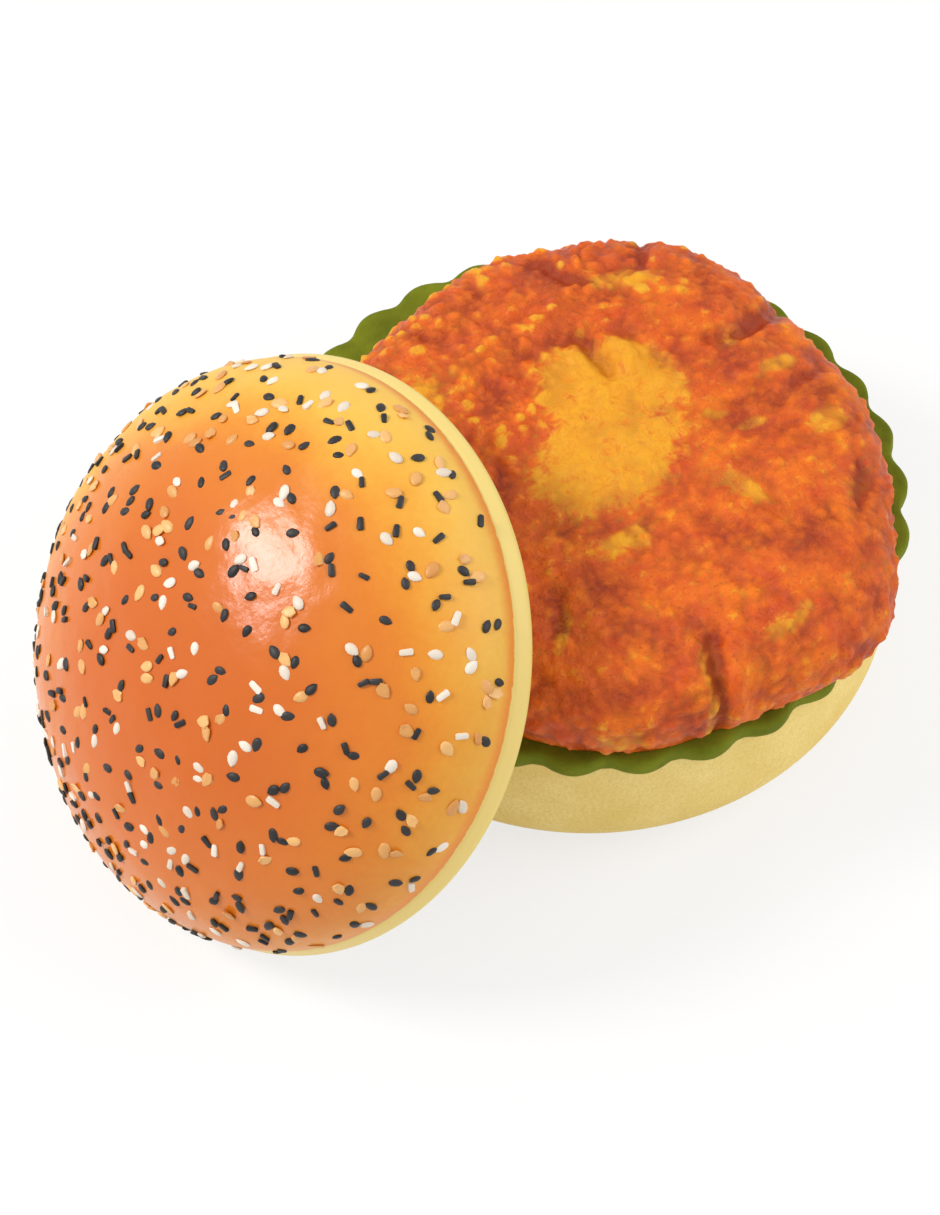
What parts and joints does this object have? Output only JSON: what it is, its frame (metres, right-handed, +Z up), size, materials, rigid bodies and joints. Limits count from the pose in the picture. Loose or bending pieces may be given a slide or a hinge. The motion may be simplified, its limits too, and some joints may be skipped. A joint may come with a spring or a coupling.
{
  "type": "novelty telephone",
  "caption": "Cordless telephone shaped like a filled bun: a seeded top-bun handset leans on a base made of a fried patty, a frilled lettuce leaf and a bottom bun.",
  "frame": {"origin": "centre of the base's underside, on the table", "axes": "+Z up, +X towards the base's back with the sockets, and the handset leans towards -X"},
  "size_m": [0.2248, 0.1614, 0.1114],
  "materials": {
    "baked_bun_plastic": "gloss-painted baked crust, browned at the top and pale at the rim",
    "pale_bun_plastic": "fine matte speckle",
    "lettuce_rubber": "matte soft leaf",
    "fried_patty_plastic": "lumpy, semi-gloss painted",
    "cream_plastic": "satin moulded",
    "brown_key": "satin moulded",
    "green_key": "satin moulded",
    "red_key": "satin moulded",
    "page_button_plastic": "satin moulded",
    "base_plate_plastic": "satin moulded",
    "black_plastic": "satin moulded",
    "dark_rubber": "matte",
    "grey_rubber": "matte",
    "board_laminate": "solder-mask green",
    "tinned_steel": "tinned",
    "screw_steel": "plated",
    "plated_contact": "nickel plated",
    "gold_contact": "gold plated",
    "cell_wrap": "plain printed sleeve",
    "ballast_iron": "dull grey",
    "black_seed": "satin",
    "white_seed": "satin",
    "toasted_flake": "satin"
  },
  "bodies": {
    "base": {"heel_shell": "pale_bun_plastic", "base_plate": "base_plate_plastic", "floor_pad": "dark_rubber", "base_screws": "screw_steel", "lettuce_leaf": "lettuce_rubber", "patty_shell": "fried_patty_plastic", "patty_screws": "screw_steel", "pin_block": "black_plastic", "main_board": "board_laminate", "main_board_screws": "screw_steel", "main_shield": "tinned_steel", "line_jack": "black_plastic", "line_jack_contacts": "gold_contact", "power_jack": "black_plastic", "power_jack_pin": "plated_contact", "page_switch": "black_plastic", "ringer_speaker": "black_plastic", "ballast_weight": "ballast_iron", "ballast_screws": "screw_steel"},
    "handset": {"crown_shell": "baked_bun_plastic", "face_plate": "cream_plastic", "face_screws": "screw_steel", "keypad_mat": "grey_rubber", "handset_board": "board_laminate", "handset_board_screws": "screw_steel", "handset_shield": "tinned_steel", "earpiece_receiver": "black_plastic", "earpiece_gasket": "dark_rubber", "microphone": "tinned_steel", "mic_boot": "dark_rubber", "battery_cells": "cell_wrap", "battery_contacts": "plated_contact", "charge_contacts": "gold_contact", "rest_pads": "dark_rubber", "black_sesame_seeds": "black_seed", "white_sesame_seeds": "white_seed", "garlic_flakes": "toasted_flake"},
    "battery_door": {"battery_door": "cream_plastic"},
    "page_button": {"page_button": "page_button_plastic"},
    "charge_pin_left": {"charge_pin_left": "gold_contact"},
    "charge_pin_right": {"charge_pin_right": "gold_contact"},
    "key_talk": {"key_talk": "green_key"},
    "key_end": {"key_end": "red_key"},
    "key_1": {"key_1": "brown_key"},
    "key_2": {"key_2": "brown_key"},
    "key_3": {"key_3": "brown_key"},
    "key_4": {"key_4": "brown_key"},
    "key_5": {"key_5": "brown_key"},
    "key_6": {"key_6": "brown_key"},
    "key_7": {"key_7": "brown_key"},
    "key_8": {"key_8": "brown_key"},
    "key_9": {"key_9": "brown_key"},
    "key_star": {"key_star": "brown_key"},
    "key_0": {"key_0": "brown_key"},
    "key_hash": {"key_hash": "brown_key"}
  },
  "joints": [
    {"name": "handset_lift", "type": "slide", "parent": "base", "child": "handset", "axis": [0, 0, 1], "range_m": [0, 0.12]},
    {"name": "battery_door_pull", "type": "slide", "parent": "handset", "child": "battery_door", "axis": [0.7349, 0, -0.6782], "range_m": [0, 0.006]},
    {"name": "page_press", "type": "slide", "parent": "base", "child": "page_button", "axis": [-1, 0, 0], "range_m": [0, 0.001], "stiffness_N_per_m": 600, "springref_m": -0.0008},
    {"name": "charge_pin_left_press", "type": "slide", "parent": "base", "child": "charge_pin_left", "axis": [0, 0, -1], "range_m": [0, 0.0015], "stiffness_N_per_m": 250, "springref_m": -0.002},
    {"name": "charge_pin_right_press", "type": "slide", "parent": "base", "child": "charge_pin_right", "axis": [0, 0, -1], "range_m": [0, 0.0015], "stiffness_N_per_m": 250, "springref_m": -0.002},
    {"name": "key_talk_press", "type": "slide", "parent": "handset", "child": "key_talk", "axis": [-0.7349, 0, 0.6782], "range_m": [0, 0.0012], "stiffness_N_per_m": 500, "springref_m": -0.0006},
    {"name": "key_end_press", "type": "slide", "parent": "handset", "child": "key_end", "axis": [-0.7349, 0, 0.6782], "range_m": [0, 0.0012], "stiffness_N_per_m": 500, "springref_m": -0.0006},
    {"name": "key_1_press", "type": "slide", "parent": "handset", "child": "key_1", "axis": [-0.7349, 0, 0.6782], "range_m": [0, 0.0012], "stiffness_N_per_m": 500, "springref_m": -0.0006},
    {"name": "key_2_press", "type": "slide", "parent": "handset", "child": "key_2", "axis": [-0.7349, 0, 0.6782], "range_m": [0, 0.0012], "stiffness_N_per_m": 500, "springref_m": -0.0006},
    {"name": "key_3_press", "type": "slide", "parent": "handset", "child": "key_3", "axis": [-0.7349, 0, 0.6782], "range_m": [0, 0.0012], "stiffness_N_per_m": 500, "springref_m": -0.0006},
    {"name": "key_4_press", "type": "slide", "parent": "handset", "child": "key_4", "axis": [-0.7349, 0, 0.6782], "range_m": [0, 0.0012], "stiffness_N_per_m": 500, "springref_m": -0.0006},
    {"name": "key_5_press", "type": "slide", "parent": "handset", "child": "key_5", "axis": [-0.7349, 0, 0.6782], "range_m": [0, 0.0012], "stiffness_N_per_m": 500, "springref_m": -0.0006},
    {"name": "key_6_press", "type": "slide", "parent": "handset", "child": "key_6", "axis": [-0.7349, 0, 0.6782], "range_m": [0, 0.0012], "stiffness_N_per_m": 500, "springref_m": -0.0006},
    {"name": "key_7_press", "type": "slide", "parent": "handset", "child": "key_7", "axis": [-0.7349, 0, 0.6782], "range_m": [0, 0.0012], "stiffness_N_per_m": 500, "springref_m": -0.0006},
    {"name": "key_8_press", "type": "slide", "parent": "handset", "child": "key_8", "axis": [-0.7349, 0, 0.6782], "range_m": [0, 0.0012], "stiffness_N_per_m": 500, "springref_m": -0.0006},
    {"name": "key_9_press", "type": "slide", "parent": "handset", "child": "key_9", "axis": [-0.7349, 0, 0.6782], "range_m": [0, 0.0012], "stiffness_N_per_m": 500, "springref_m": -0.0006},
    {"name": "key_star_press", "type": "slide", "parent": "handset", "child": "key_star", "axis": [-0.7349, 0, 0.6782], "range_m": [0, 0.0012], "stiffness_N_per_m": 500, "springref_m": -0.0006},
    {"name": "key_0_press", "type": "slide", "parent": "handset", "child": "key_0", "axis": [-0.7349, 0, 0.6782], "range_m": [0, 0.0012], "stiffness_N_per_m": 500, "springref_m": -0.0006},
    {"name": "key_hash_press", "type": "slide", "parent": "handset", "child": "key_hash", "axis": [-0.7349, 0, 0.6782], "range_m": [0, 0.0012], "stiffness_N_per_m": 500, "springref_m": -0.0006}
  ]
}
